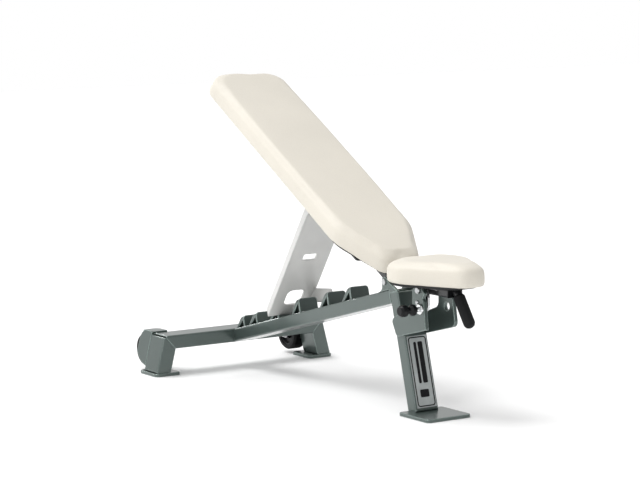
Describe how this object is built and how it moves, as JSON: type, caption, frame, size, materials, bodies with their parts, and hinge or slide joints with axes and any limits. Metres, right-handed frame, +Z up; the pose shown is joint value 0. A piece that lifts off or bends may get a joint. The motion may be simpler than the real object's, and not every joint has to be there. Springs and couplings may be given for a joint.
{
  "type": "adjustable weight bench",
  "caption": "Adjustable weight bench: welded frame with a stop ladder, padded backrest on a swinging strut, tilting padded seat with handle and pull pin, two transport wheels.",
  "frame": {"origin": "under the centre of the overall box, on the floor", "axes": "+X towards the seat end, +Y to the left of someone sitting on it and facing the seat end, +Z up"},
  "size_m": [1.371, 0.656, 0.9233],
  "materials": {
    "frame_paint": "satin",
    "strut_paint": "satin",
    "black_steel": "satin",
    "zinc": "satin",
    "bright_steel": "polished",
    "black_board": "matte",
    "cushion_cover": "satin",
    "black_rubber": "matte",
    "black_plastic": "satin",
    "label_plate": "satin"
  },
  "bodies": {
    "frame": {"crossbar": "frame_paint", "front_foot_plate": "frame_paint", "front_post": "frame_paint", "hinge_bolt": "zinc", "hinge_ear_left": "frame_paint", "hinge_ear_right": "frame_paint", "ladder_stop_1": "frame_paint", "ladder_stop_2": "frame_paint", "ladder_stop_3": "frame_paint", "ladder_stop_4": "frame_paint", "ladder_stop_5": "frame_paint", "ladder_stop_6": "frame_paint", "pin_barrel": "bright_steel", "pivot_nuts": "zinc", "post_cap": "black_plastic", "post_label": "label_plate", "rear_foot_plate_left": "frame_paint", "rear_foot_plate_right": "frame_paint", "rear_leg_left": "frame_paint", "rear_leg_right": "frame_paint", "seat_cheek_left": "frame_paint", "seat_cheek_right": "frame_paint", "seat_pivot_bolt": "zinc", "seat_stop_pin": "zinc", "spine_tube": "frame_paint", "wheel_axle_nuts": "zinc", "wheel_axles": "zinc", "wheel_guard_left": "frame_paint", "wheel_guard_right": "frame_paint"},
    "backrest": {"backrest_rail": "black_steel", "backrest_hinge_sleeve": "black_steel", "backrest_rail_cap": "black_plastic", "backrest_straps": "black_steel", "backrest_screws": "zinc", "backrest_board": "black_board", "backrest_cushion": "cushion_cover", "strut_rod": "zinc", "strut_rod_nuts": "zinc", "strut_rod_spacers": "zinc"},
    "strut": {"strut_channel": "strut_paint", "strut_foot_plate": "strut_paint", "strut_lift_tab": "strut_paint"},
    "seat": {"seat_rail": "black_steel", "seat_rail_ends": "black_plastic", "seat_pivot_sleeve": "black_steel", "seat_sector_plate": "bright_steel", "seat_straps": "black_steel", "seat_screws": "zinc", "seat_board": "black_board", "seat_cushion": "cushion_cover", "handle_tube": "black_steel", "handle_grip": "black_rubber"},
    "lock_pin": {"pin_plunger": "bright_steel", "pin_knob": "black_plastic"},
    "wheel_left": {"wheel_tyre_left": "black_rubber", "wheel_hub_left": "black_plastic"},
    "wheel_right": {"wheel_tyre_right": "black_rubber", "wheel_hub_right": "black_plastic"}
  },
  "joints": [
    {"name": "recline", "type": "hinge", "parent": "frame", "child": "backrest", "pos_m": [0.31148, 0, 0.36455], "axis": [0, 1, 0], "range_deg": [0, 33]},
    {"name": "strut_swing", "type": "hinge", "parent": "backrest", "child": "strut", "pos_m": [-0.02352, 0, 0.56031], "axis": [0, 1, 0], "range_deg": [-40, 0]},
    {"name": "seat_tilt", "type": "hinge", "parent": "frame", "child": "seat", "pos_m": [0.4905, 0, 0.362], "axis": [0, 1, 0], "range_deg": [-15, 0]},
    {"name": "pin_pull", "type": "slide", "parent": "frame", "child": "lock_pin", "axis": [0, 1, 0], "range_m": [0, 0.0095]},
    {"name": "wheel_spin_left", "type": "hinge", "parent": "frame", "child": "wheel_left", "pos_m": [-0.6335, 0, 0.065], "axis": [0, 1, 0], "continuous": true},
    {"name": "wheel_spin_right", "type": "hinge", "parent": "frame", "child": "wheel_right", "pos_m": [-0.6335, 0, 0.065], "axis": [0, 1, 0], "continuous": true}
  ],
  "couplings": [
    {"joint": "strut_swing", "follows": "recline", "ratio": -1.2}
  ]
}
